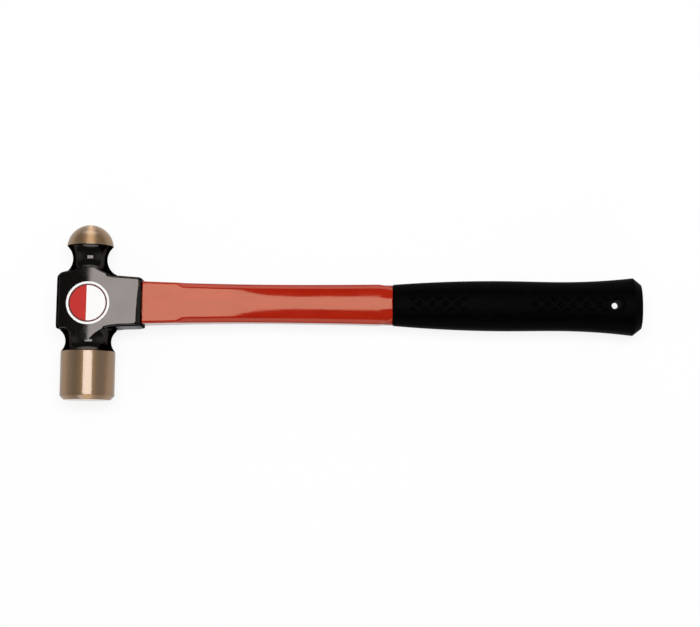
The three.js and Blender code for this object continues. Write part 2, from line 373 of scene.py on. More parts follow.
class Wiring:
    """A hand for wiring a tree of shader nodes."""

    def __init__(self, tree: bpy.types.NodeTree) -> None:
        """Takes up the tree."""
        self.tree = tree

    def feed(self, node: bpy.types.Node, inputs: Inputs) -> None:
        """Sets or links a node's inputs.

        Args:
            node: the node.
            inputs: a value or another node's output, by the name or number of the input.
        """
        for key, value in inputs.items():
            if isinstance(value, Socket):
                self.tree.links.new(value, node.inputs[key])
            else:
                node.inputs[key].default_value = value

    def node(self, kind: str, inputs: Inputs | None = None, **values: object) -> bpy.types.Node:
        """Adds a node.

        Args:
            kind: its type, after "ShaderNode".
            inputs: what its inputs are fed.
            values: its properties, by name.

        Returns:
            The new node.
        """
        made = self.tree.nodes.new("ShaderNode" + kind)
        for key, value in values.items():
            setattr(made, key, value)
        self.feed(made, inputs or {})
        return made


class Shader(Wiring):
    """The nodes of one material, round its Principled shader."""

    def __init__(self, name: str) -> None:
        """Starts a material.

        Args:
            name: the material's name.
        """
        self.material = bpy.data.materials.new(name)
        self.material.use_nodes = True
        super().__init__(self.material.node_tree)
        self.surface = self.tree.nodes["Principled BSDF"]

    def noise(self, cells: float, detail: float, place: Socket) -> Socket:
        """Gives a noise between 0 and 1, with some cells per metre and octaves of detail."""
        inputs = {"Scale": cells, "Detail": detail, "Vector": place}
        return self.node("TexNoise", inputs).outputs["Fac"]

    def spread(self, noise: Socket, low: float, high: float) -> Socket:
        """Maps a noise's usual range onto another.

        Args:
            noise: the noise.
            low: the result at its usual low end.
            high: the result at its usual high end.

        Returns:
            The result.
        """
        least, most = NOISE_RANGE
        inputs = {"Value": noise, "From Min": least, "From Max": most, "To Min": low, "To Max": high}
        return self.node("MapRange", inputs).outputs["Result"]

    def tint(self, noise: Socket, dark: Colour, light: Colour) -> Socket:
        """Blends two colours over a noise's usual range.

        Args:
            noise: the noise.
            dark: the colour at its usual low end.
            light: the colour at its usual high end.

        Returns:
            The colour.
        """
        ramp = self.node("ValToRGB", {"Fac": noise})
        for stop, place, colour in zip(ramp.color_ramp.elements, NOISE_RANGE, (dark, light)):
            stop.position = place
            stop.color = (*colour, 1)
        return ramp.outputs["Color"]

    def bump(self, height: Socket, depth: float, strength: float) -> Socket:
        """Gives the normals of a surface that a height map raises by some depth, in metres."""
        inputs = {"Height": height, "Distance": depth, "Strength": strength}
        return self.node("Bump", inputs).outputs["Normal"]


@dataclass(frozen=True)
class Finish(ABC):
    """A finish whose clouds vary its colour and roughness and whose grain raises its surface.

    Clouds and grain are noises, in cells per metre. The roughness is given for the dark clouds and for
    the light ones.
    """

    name: str
    dark: Colour
    light: Colour
    roughness: Point
    cloud: float
    grain: float
    grain_depth: float
    grain_strength: float
    cloud_detail: float = 3.0
    grain_detail: float = 2.0
    stretch: Triple = (1, 1, 1)

    @abstractmethod
    def even(self) -> Inputs:
        """Gives the surface's values that are the same all over."""

    def place(self, shader: Shader) -> Socket:
        """Gives the noises' coordinates: the piece's own, stretched along its axes."""
        own = shader.node("TexCoord").outputs["Object"]
        return shader.node("Mapping", {"Vector": own, "Scale": self.stretch}).outputs["Vector"]

    def material(self) -> bpy.types.Material:
        """Makes the finish.

        Returns:
            Its material.
        """
        shader = Shader(self.name)
        place = self.place(shader)
        cloud = shader.noise(self.cloud, self.cloud_detail, place)
        grain = shader.noise(self.grain, self.grain_detail, place)
        low, high = self.roughness
        shader.feed(shader.surface, {
            "Base Color": shader.tint(cloud, self.dark, self.light),
            "Roughness": shader.spread(cloud, low, high) if low < high else low,
            "Normal": shader.bump(grain, self.grain_depth, self.grain_strength),
            **self.even(),
        })
        return shader.material


@dataclass(frozen=True)
class Lacquer(Finish):
    """Gloss black lacquer over forged steel, whose flanks mirror little of the pale floor."""

    name: str = "black_lacquer"
    dark: Colour = (0.0265, 0.0238, 0.0226)
    light: Colour = (0.0289, 0.026, 0.0246)
    flank: Colour = (0.05, 0.05, 0.055)
    roughness: Point = (0.02, 0.045)
    cloud: float = 90.0
    grain: float = 500.0
    grain_detail: float = 1.0
    grain_depth: float = 0.01 * MM
    grain_strength: float = 0.06

    def even(self) -> Inputs:
        """Gives the lacquer's mirror, dark at a flat angle."""
        return {"Metallic": 1.0, "Specular Tint": (*self.flank, 1)}


@dataclass(frozen=True)
class TurnedSteel(Finish):
    """Bright steel with the fine rings of a lathe about the head's axis, under a clear film."""

    name: str = "turned_steel"
    dark: Colour = (0.41, 0.257, 0.135)
    light: Colour = (0.49, 0.313, 0.17)
    flank: Colour = (0.45, 0.4, 0.36)
    roughness: Point = (0.57, 0.63)
    cloud: float = 3200.0
    cloud_detail: float = 2.0
    grain: float = 3200.0
    grain_depth: float = 0.01 * MM
    grain_strength: float = 0.2
    film: float = 0.85
    film_roughness: float = 0.05
    axis: Matrix = field(kw_only=True)

    def even(self) -> Inputs:
        """Gives the steel's drawn-out shine and the film.

        Returns:
            The values, by the name of the input.
        """
        shine = {"Metallic": 1.0, "Anisotropic": 0.94, "Anisotropic Rotation": 0.25}
        film = {"Coat Weight": self.film, "Coat Roughness": self.film_roughness, "Coat IOR": 1.5}
        return {**shine, **film, "Specular Tint": (*self.flank, 1)}

    def place(self, shader: Shader) -> Socket:
        """Measures radius and height on the head's axis, and lays the shine round it.

        Args:
            shader: the steel's shader.

        Returns:
            The noises' coordinates.
        """
        own = shader.node("TexCoord").outputs["Object"]
        home = self.axis.inverted()
        turned = {"Vector": own, "Location": home.to_translation(), "Rotation": home.to_euler()}
        mapping = shader.node("Mapping", turned)
        split = shader.node("SeparateXYZ", {"Vector": mapping.outputs["Vector"]}).outputs
        back = shader.node("Math", {0: split["X"], 1: -1.0}, operation="MULTIPLY").outputs["Value"]
        tangent = shader.node("CombineXYZ", {"X": split["Z"], "Z": back}).outputs["Vector"]
        shader.feed(shader.surface, {"Tangent": tangent})
        radius = shader.node("VectorMath", {0: tangent}, operation="LENGTH").outputs["Value"]
        return shader.node("CombineXYZ", {"X": radius, "Y": split["Y"]}).outputs["Vector"]


@dataclass(frozen=True)
class JacketPlastic(Finish):
    """Gloss red moulded plastic."""

    name: str = "red_jacket"
    dark: Colour = (0.31, 0.009, 0.002)
    light: Colour = (0.355, 0.013, 0.004)
    sheen: Colour = (1, 0.76, 0.52)
    roughness: Point = (0.06, 0.12)
    cloud: float = 160.0
    grain: float = 420.0
    grain_depth: float = 0.03 * MM
    grain_strength: float = 0.3
    stretch: Triple = (0.35, 1, 1)

    def even(self) -> Inputs:
        """Gives the plastic's warm mirror."""
        return {"IOR": 1.33, "Specular Tint": (*self.sheen, 1)}


@dataclass(frozen=True)
class GripRubber(Finish):
    """Satin black moulded rubber."""

    name: str = "black_rubber"
    dark: Colour = (0.0003, 0.0003, 0.00033)
    light: Colour = (0.0007, 0.0007, 0.00075)
    roughness: Point = (0.44, 0.54)
    cloud: float = 220.0
    grain: float = 2600.0
    grain_depth: float = 0.04 * MM
    grain_strength: float = 0.4

    def even(self) -> Inputs:
        """Gives the rubber's faint mirror."""
        return {"IOR": 1.45, "Specular IOR Level": 0.016}


@dataclass(frozen=True)
class CastResin(Finish):
    """Amber epoxy, clouded by fine bubbles."""

    name: str = "cast_resin"
    dark: Colour = (0.34, 0.2, 0.06)
    light: Colour = (0.55, 0.36, 0.13)
    roughness: Point = (0.22, 0.22)
    cloud: float = 900.0
    cloud_detail: float = 4.0
    grain: float = 1400.0
    grain_depth: float = 0.05 * MM
    grain_strength: float = 0.5

    def even(self) -> Inputs:
        """Gives the resin's mirror."""
        return {"IOR": 1.55}


@dataclass(frozen=True)
class Fibreglass(Finish):
    """Cream fibreglass whose strands run along the handle."""

    name: str = "fibreglass"
    dark: Colour = (0.5, 0.45, 0.28)
    light: Colour = (0.78, 0.74, 0.58)
    roughness: Point = (0.48, 0.48)
    cloud: float = 1500.0
    grain: float = 1500.0
    grain_detail: float = 3.0
    grain_depth: float = 0.06 * MM
    grain_strength: float = 0.5
    stretch: Triple = (0.03, 1, 1)

    def even(self) -> Inputs:
        """Gives the fibreglass's mirror."""
        return {"IOR": 1.52}


@dataclass(frozen=True)
class LabelInk(Finish):
    """Printed gloss sticker stock in one colour."""

    roughness: Point = (0.4, 0.4)
    cloud: float = 1800.0
    grain: float = 1800.0
    grain_detail: float = 3.0
    grain_depth: float = 0.01 * MM
    grain_strength: float = 0.25

    def even(self) -> Inputs:
        """Gives the ink's mirror."""
        return {"IOR": 1.45, "Specular IOR Level": 0.12}


# Pieces


def eye_centre(tenon_reach: float) -> Vector:
    """Finds the middle of the eye from the front end of the handle's core.

    Args:
        tenon_reach: how far the core's tenon reaches in front of the middle of the eye.

    Returns:
        The middle of the eye, on the handle's axis.
    """
    low, high = (Vector(corner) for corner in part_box("handle_core"))
    middle = (low + high) / 2
    return Vector((low.x + tenon_reach, middle.y, middle.z))


@dataclass
class ForgedHead:
    """The forged head: poll, necks, eye boss with tapered cheeks, and ball.

    A row of the boss's outline holds a share of the eye's length and the boss's reach above and below
    the handle's axis there, as shares of its half height.
    """

    place: Matrix
    length: float = 102.76 * MM
    face_to_eye: float = 56.68 * MM
    poll_radius: float = 15.83 * MM
    poll_length: float = 28.2 * MM
    face_chamfer: float = 2.3 * MM
    lower_neck_radius: float = 13.25 * MM
    lower_neck_hollow: float = 8 * MM
    ball_radius: float = 13.5 * MM
    ball_lip: float = 0.8 * MM
    upper_neck_radius: float = 10 * MM
    upper_neck_hollow: float = 10 * MM
    shoulder_radius: float = 16.3 * MM
    eye_face_reach: float = 17.38 * MM
    eye_length: float = 48.98 * MM
    boss_half_height: float = 14.4 * MM
    cheek_half_thickness: float = 12.2 * MM
    cheek_taper: float = math.radians(2.4)
    top_edge_round: float = 2.2 * MM
    bottom_edge_round: float = 2.3 * MM
    far_bevel: float = 2.4 * MM
    handle_bevel: float = 1.9 * MM
    eye_half_height: float = 10.8 * MM
    eye_half_width: float = 7 * MM
    eye_flare: float = 0.8 * MM
    eye_squareness: float = 2.6
    tenon_reach: float = 16.8 * MM
    proud: float = 0.3 * MM
    ledge: float = 0.15 * MM
    stub: float = 3 * MM
    stub_taper: float = 1 * MM
    edge_break: float = 0.35 * MM
    voxel: float = 0.42 * MM
    relaxing: float = 0.5
    relaxing_rounds: int = 8
    last_grind: float = 0.04 * MM
    grind_end: float = 19.6 * MM
    corner_grind: float = 2.2 * MM
    crisp_degrees: float = 30
    flat_faces_weight: int = 100
    turn_steps: int = 160
    neck_steps: int = 22
    ball_steps: int = 40
    edge_steps: int = 4
    poll_edge_steps: int = 3
    ball_edge_steps: int = 2
    eye_steps: int = 16
    eye_sides: int = 96
    outline_shares: tuple[Triple, ...] = (
        (0, 1.06, 1.08),
        (0.045, 1.17, 1.13),
        (0.09, 1.22, 1.12),
        (0.18, 1.28, 1.1),
        (0.27, 1.33, 1.1),
        (0.37, 1.33, 1.1),
        (0.47, 1.23, 1.09),
        (0.56, 1.14, 1.12),
        (0.65, 1.08, 1.05),
        (0.75, 1.055, 1.005),
        (0.975, 1, 0.985),
        (1, 0.97, 0.96),
    )
    ball_edge: float = field(init=False)
    ball_centre: float = field(init=False)
    poll_shoulder: float = field(init=False)
    upper_neck: float = field(init=False)
    lower_neck: float = field(init=False)

    def __post_init__(self) -> None:
        """Works out the heights that follow from the sizes."""
        self.ball_centre = self.length - self.face_to_eye - self.ball_radius
        self.ball_edge = self.ball_centre + self.ball_lip
        self.poll_shoulder = self.poll_length - self.face_to_eye
        lip_rise = self.lip_radius() - self.upper_neck_radius
        self.upper_neck = self.ball_edge - self.reach(self.upper_neck_hollow, lip_rise)
        poll_rise = self.poll_radius - self.lower_neck_radius
        self.lower_neck = self.poll_shoulder + self.reach(self.lower_neck_hollow, poll_rise)

    def reach(self, radius: float, rise: float) -> float:
        """Gives the half-chord of a hollow arc at a rise from its deepest point."""
        return math.sqrt(radius**2 - (radius - rise) ** 2)

    def lip_radius(self) -> float:
        """Gives the ball's radius at its lower edge."""
        return math.sqrt(self.ball_radius**2 - self.ball_lip**2)

    def cheek(self, height: float) -> float:
        """Gives half the thickness between the cheeks at a height above the eye."""
        return self.cheek_half_thickness - height * math.tan(self.cheek_taper)

    def neck_arc(self, waist: float, height: float, hollow: float, ends: Point) -> list[Point]:
        """Gives the hollow of a neck between two radii, from low to high.

        Args:
            waist: radius at the narrowest place.
            height: height of the narrowest place.
            hollow: radius of the hollow.
            ends: radii at the low and high end.

        Returns:
            Points of (radius, height).
        """
        centre = waist + hollow
        low = math.atan2(-self.reach(hollow, ends[0] - waist), ends[0] - centre)
        high = math.atan2(self.reach(hollow, ends[1] - waist), ends[1] - centre)
        return arc((centre, height), hollow, low + 2 * math.pi, high, self.neck_steps)

    def necks(self) -> Piece:
        """Turns both necks, with stubs that end inside the poll and the ball.

        Returns:
            The necks in one solid.
        """
        foot = self.poll_radius - self.ledge
        top = self.lip_radius() - self.ledge
        lower = (self.lower_neck_radius, self.lower_neck, self.lower_neck_hollow)
        upper = (self.upper_neck_radius, self.upper_neck, self.upper_neck_hollow)
        profile = [
            (0, self.poll_shoulder - self.stub),
            (foot, self.poll_shoulder - self.stub),
            *self.neck_arc(*lower, (foot, self.shoulder_radius)),
            *self.neck_arc(*upper, (self.shoulder_radius, top)),
            (top - self.stub_taper, self.ball_edge + self.stub),
            (0, self.ball_edge + self.stub),
        ]
        return spun("head", profile, self.turn_steps)

    def boss(self) -> Piece:
        """Shapes the eye boss from a block: its outline, tapered cheeks and broken edges.

        Returns:
            The boss.
        """
        middle = self.eye_length / 2 - self.eye_face_reach
        size = (self.eye_length, 2 * self.boss_half_height, 2 * self.cheek_half_thickness)
        boss = block("boss", (middle, 0, 0), size)
        with editing(boss):
            for share, _, _ in self.outline_shares[1:-1]:
                bpy.ops.mesh.select_all(action="SELECT")
                bpy.ops.mesh.bisect(
                    plane_co=(share * self.eye_length - self.eye_face_reach, 0, 0),
                    plane_no=(1, 0, 0),
                )
        self.shape_outline(boss)
        for side, width in ((1, self.top_edge_round), (-1, self.bottom_edge_round)):
            bevel(boss, width, self.edge_steps, lambda a, b: self.runs_along(a, b) and side * a.y > 0)
        return boss

    def shape_outline(self, boss: Piece) -> None:
        """Moves a bisected block's corners onto the outline and the tapered cheeks.

        Args:
            boss: the block.
        """
        far_end, *_, lower_corner, handle_end = self.outline_shares
        insets = {far_end: self.far_bevel, handle_end: self.handle_bevel}
        for corner in boss.data.vertices:
            along = (corner.co.x + self.eye_face_reach) / self.eye_length
            shares = min(self.outline_shares, key=lambda row: abs(row[0] - along))
            upper = corner.co.y > 0
            side = math.copysign(1, corner.co.z)
            corner.co.y = self.boss_half_height * (shares[1] if upper else -shares[2])
            if shares == lower_corner and not upper:
                corner.co.x -= self.corner_grind
            corner.co.z = side * (self.cheek(corner.co.y) + self.proud - insets.get(shares, 0.0))

    @staticmethod
    def runs_along(start: Vector, end: Vector) -> bool:
        """Says whether an edge runs along the boss and not across it."""
        return abs(start.x - end.x) > HAIR and start.y * end.y > 0 and start.z * end.z > 0

    def cheek_wedge(self, side: int, depth: float) -> Piece:
        """Makes the wedge that grinds one cheek flat, from the lower neck up to a straight end.

        Args:
            side: 1 for the upper cheek, -1 for the lower.
            depth: how much lower than the cheek it grinds.

        Returns:
            The cutting body.
        """
        outside = 2 * self.shoulder_radius
        width = 4 * self.eye_length
        low, high = self.lower_neck, self.grind_end
        middle = (0, (low + high) / 2, side * outside / 2)
        wedge = block("wedge", middle, (width, high - low, outside))
        for corner in wedge.data.vertices:
            if abs(corner.co.z) < outside / 2:
                corner.co.z = side * (self.cheek(corner.co.y) - depth)
        return wedge

    def eye_cutter(self) -> Piece:
        """Makes the oval body of the eye, narrowest halfway, which reaches past both mouths.

        Returns:
            The cutting body.
        """
        rings = []
        for i in range(-1, self.eye_steps + 2):
            place = self.eye_length * i / self.eye_steps - self.eye_face_reach
            grow = self.eye_flare * (2 * i / self.eye_steps - 1) ** 2
            half_sizes = (self.eye_half_height + grow, self.eye_half_width + grow)
            rings.append(oval_ring(place, *half_sizes, self.eye_squareness, self.eye_sides))
        return skinned("eye", rings)

    def poll(self) -> Piece:
        """Turns the poll: striking face, chamfer and cylinder.

        Returns:
            The poll.
        """
        margin = 2 * self.edge_break
        chamfer_top = self.face_chamfer - self.face_to_eye
        face_radius = self.poll_radius - self.face_chamfer
        profile = [
            (0, -self.face_to_eye),
            (face_radius - margin, -self.face_to_eye),
            (face_radius, -self.face_to_eye),
            (self.poll_radius, chamfer_top),
            (self.poll_radius, chamfer_top + margin),
            (self.poll_radius, self.poll_shoulder - margin),
            (self.poll_radius, self.poll_shoulder),
            (0, self.poll_shoulder),
        ]
        poll = spun("poll", profile, self.turn_steps)
        self.break_edges(poll, self.edge_break, self.poll_edge_steps)
        return poll

    def ball(self) -> Piece:
        """Turns the half ball.

        Returns:
            The ball.
        """
        start = math.asin(self.ball_lip / self.ball_radius)
        dome = arc((0, self.ball_centre), self.ball_radius, start, math.pi / 2, self.ball_steps)
        profile = [(0, self.ball_edge), *dome[:-1], (0, self.ball_centre + self.ball_radius)]
        ball = spun("ball", profile, self.turn_steps)
        self.break_edges(ball, self.edge_break / 2, self.ball_edge_steps)
        return ball

    @staticmethod
    def break_edges(solid: Piece, width: float, steps: int) -> None:
        """Breaks a turned solid's sharp edges."""
        finish_with(solid, "BEVEL", width=width, segments=steps, limit_method="ANGLE")

    def grind(self, head: Piece, depth: float) -> None:
        """Grinds both cheeks flat, to a depth below their size."""
        for side in (1, -1):
            combine(head, self.cheek_wedge(side, depth), Cut.TAKE_AWAY)

    def build(self) -> None:
        """Forges, grinds and turns the head, and dresses it."""
        head = self.necks()
        combine(head, self.boss(), Cut.JOIN)
        self.grind(head, 0.0)
        finish_with(head, "REMESH", mode="VOXEL", voxel_size=self.voxel)
        finish_with(head, "SMOOTH", factor=self.relaxing, iterations=self.relaxing_rounds)
        self.grind(head, self.last_grind)
        combine(head, self.poll(), Cut.JOIN)
        combine(head, self.ball(), Cut.JOIN)
        combine(head, self.eye_cutter(), Cut.TAKE_AWAY)
        self.paint(head)
        smooth(head, self.crisp_degrees)
        weight = self.flat_faces_weight
        finish_with(head, "WEIGHTED_NORMAL", mode="FACE_AREA", weight=weight, keep_sharp=True)
        settle(head, self.place)
        ride(head, Slot.STEEL, "head")

    def paint(self, head: Piece) -> None:
        """Lacquers the forging and leaves the poll and the ball bright.

        Args:
            head: the head, about its own axis.
        """
        dress(head, Lacquer(), TurnedSteel(axis=self.place))
        for face in head.data.polygons:
            height = face.center.y
            bright = height > self.ball_edge + HAIR or height < self.poll_shoulder - HAIR
            face.material_index = int(bright)


@dataclass
class CheekLabel:
    """The round sticker on the upper cheek: a white rim, a dark line and two plain fields."""

    head: ForgedHead
    radius: float = 12.5 * MM
    rim: float = 1.3 * MM
    line: float = 0.9 * MM
    thickness: float = 0.12 * MM
    lift: float = 0.03 * MM
    from_head_axis: float = 1.2 * MM
    below_eye: float = 1 * MM
    split: float = -0.8 * MM
    sides: int = 96

    def build(self) -> None:
        """Prints and cuts the sticker, and sticks it to the cheek."""
        deselect()
        bpy.ops.mesh.primitive_circle_add(vertices=self.sides, radius=self.radius, fill_type="NGON")
        label = named("cheek_label")
        with editing(label):
            pick("FACE")
            bpy.ops.mesh.inset(thickness=self.rim)
            bpy.ops.mesh.inset(thickness=self.line)
            bpy.ops.mesh.bisect(plane_co=(self.split, 0, 0), plane_no=(1, 0, 0))
        self.print_fields(label)
        finish_with(label, "SOLIDIFY", thickness=self.thickness, offset=1)
        lean = Matrix.Rotation(-self.head.cheek_taper, 4, "X")
        lift = Matrix.Translation((0, 0, self.lift))
        spot = (self.from_head_axis, -self.below_eye, self.head.cheek(-self.below_eye))
        settle(label, self.head.place @ Matrix.Translation(spot) @ lean @ lift)
        ride(label, Slot.LABEL, "head_label")

    def print_fields(self, label: Piece) -> None:
        """Gives the rim, the line and the two fields their inks.

        Args:
            label: the flat label.
        """
        dress(
            label,
            LabelInk("label_white", (0.8, 0.79, 0.78), (0.86, 0.85, 0.84)),
            LabelInk("label_dark", (0.08, 0.012, 0.01), (0.11, 0.016, 0.014)),
            LabelInk("label_red", (0.42, 0.016, 0.012), (0.5, 0.022, 0.016)),
        )
        white, dark, red = range(len(label.data.materials))
        for face in label.data.polygons:
            from_edge = self.radius - face.center.length
            if from_edge < self.rim:
                face.material_index = white
            elif from_edge < self.rim + self.line:
                face.material_index = dark
            else:
                face.material_index = red if face.center.x < self.split else white


@dataclass
class Sleeve:
    """A moulding round the handle's core, from one end of its CAD node to the other."""

    eye: Vector
    node: str
    slot: Slot
    core_clearance: float = 0.15 * MM
    core_corner: float = 4.2 * MM
    core_corner_steps: int = 8
    start: float = field(init=False)
    end: float = field(init=False)

    def __post_init__(self) -> None:
        """Finds both ends."""
        low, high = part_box(self.node)
        self.start, self.end = low[0], high[0]

    def stand(self, place: float, outline: list[Point]) -> list[Vector]:
        """Stands an outline of (Y, Z) points round the handle's axis at a place along it."""
        return [Vector((place, self.eye.y + y, self.eye.z + z)) for y, z in outline]

    def bore(self, start: float, end: float) -> Piece:
        """Makes the body of the hole that the core fills.

        Args:
            start: where it starts along the handle.
            end: where it ends.

        Returns:
            The cutting body.
        """
        low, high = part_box("handle_core")
        height = (high[1] - low[1]) / 2 + self.core_clearance
        width = (high[2] - low[2]) / 2 + self.core_clearance
        corner = self.core_corner + self.core_clearance
        outline = []
        for quarter, (up, out) in enumerate(((1, 1), (-1, 1), (-1, -1), (1, -1))):
            centre = (up * (height - corner), out * (width - corner))
            angle = quarter * math.pi / 2
            outline += arc(centre, corner, angle, angle + math.pi / 2, self.core_corner_steps)
        return skinned("bore", [self.stand(place, outline) for place in (start, end)])

    def hand_over(self, sleeve: Piece, finish: Finish, crisp_degrees: float) -> None:
        """Dresses and shades the moulding, and hands it to the frame.

        Args:
            sleeve: the moulding.
            finish: its finish.
            crisp_degrees: edges sharper than this stay crisp.
        """
        dress(sleeve, finish)
        smooth(sleeve, crisp_degrees)
        settle(sleeve, Matrix.Identity(4))
        ride(sleeve, self.slot, self.node)


@dataclass
class Jacket(Sleeve):
    """The red jacket: square by the head, chamfered along its edges, oval by the grip.

    Next to both ends a ring stands in by a share of the width at which the edges are broken.
    """

    node: str = "handle_jacket"
    slot: Slot = Slot.JACKET
    head_height: float = 24.6 * MM
    waist_height: float = 22.2 * MM
    grip_height: float = 23.6 * MM
    head_depth: float = 17.4 * MM
    waist_depth: float = 16.4 * MM
    grip_depth: float = 17 * MM
    edge: float = 0.8 * MM
    chamfer: float = 2.7 * MM
    chamfer_drop: float = 2.2 * MM
    crown: float = 0.8 * MM
    chamfer_start: float = 20 * MM
    chamfer_run_in: float = 3.6 * MM
    chamfer_run_out: float = 9 * MM
    crown_start: float = 24 * MM
    crown_run_in: float = 66 * MM
    edge_break: float = 0.45 * MM
    edge_break_steps: int = 3
    broken_above: float = math.radians(24)
    crisp_degrees: float = 20
    end_ring_share: float = 1.15
    end_squareness: float = 2.6
    side_steps: int = 3
    face_steps: int = 12
    ring_steps: tuple[int, int, int, int] = (6, 6, 36, 10)

    def size_at(self, place: float, at_head: float, at_waist: float, at_grip: float) -> float:
        """Gives a height or depth of the jacket.

        Args:
            place: where along the handle.
            at_head: size by the head.
            at_waist: size halfway.
            at_grip: size by the grip.

        Returns:
            The size there.
        """
        waist = (self.start + self.end) / 2
        narrowed = blend(at_head, at_waist, ease_out(share_along(place, self.start, waist)))
        return narrowed + (at_grip - at_waist) * share_along(place, waist, self.end) ** 2

    def ring(self, place: float) -> list[Vector]:
        """Gives one section of the jacket.

        Args:
            place: where along the handle.

        Returns:
            The points of the ring.
        """
        height = self.size_at(place, self.head_height, self.waist_height, self.grip_height) / 2
        depth = self.size_at(place, self.head_depth, self.waist_depth, self.grip_depth) / 2
        chamfer_on = self.start + self.chamfer_start
        run_in = share_along(place, chamfer_on, chamfer_on + self.chamfer_run_in)
        chamfer = blend(self.edge, self.chamfer, run_in)
        drop = blend(self.edge, self.chamfer_drop, run_in)
        crown_on = self.start + self.crown_start
        crown = self.crown * ease_both(share_along(place, crown_on, crown_on + self.crown_run_in))
        oval = ease_both(share_along(place, self.end - self.chamfer_run_out, self.end))
        flat = height - chamfer
        side_top = depth - crown - drop
        side = [(height, side_top * i / self.side_steps) for i in range(self.side_steps + 1)]
        face = [
            (flat * i / self.face_steps, depth - crown * (i / self.face_steps) ** 2)
            for i in range(self.face_steps, -1, -1)
        ]
        quarter = []
        for y, z in side + face:
            angle = math.atan2(z / depth, y / height)
            up, out = (part ** (2 / self.end_squareness) for part in (math.cos(angle), math.sin(angle)))
            quarter.append((blend(y, height * up, oval), blend(z, depth * out, oval)))
        upper, turned = quarter[:-1], quarter[:0:-1]
        outline = [
            *upper,
            *((-y, z) for y, z in turned),
            *((-y, -z) for y, z in upper),
            *((y, -z) for y, z in turned),
        ]
        return self.stand(place, outline)

    def build(self) -> None:
        """Moulds the jacket round the core and dresses it."""
        chamfer_on = self.start + self.chamfer_start
        chamfer_full = chamfer_on + self.chamfer_run_in
        fade_on = self.end - self.chamfer_run_out
        inset = self.end_ring_share * self.edge_break
        plain, run_in, chamfered, run_out = self.ring_steps
        places = [
            self.start,
            *between(self.start + inset, chamfer_on, plain),
            *between(chamfer_on, chamfer_full, run_in),
            *between(chamfer_full, fade_on, chamfered),
            *between(fade_on, self.end - inset, run_out),
            self.end - inset,
            self.end,
        ]
        jacket = skinned("handle_jacket_skin", [self.ring(place) for place in places])
        finish_with(
            jacket, "BEVEL", width=self.edge_break, segments=self.edge_break_steps,
            limit_method="ANGLE", angle_limit=self.broken_above,
        )
        combine(jacket, self.bore(self.start - OVERRUN, self.end + OVERRUN), Cut.TAKE_AWAY)
        self.hand_over(jacket, JacketPlastic(), self.crisp_degrees)


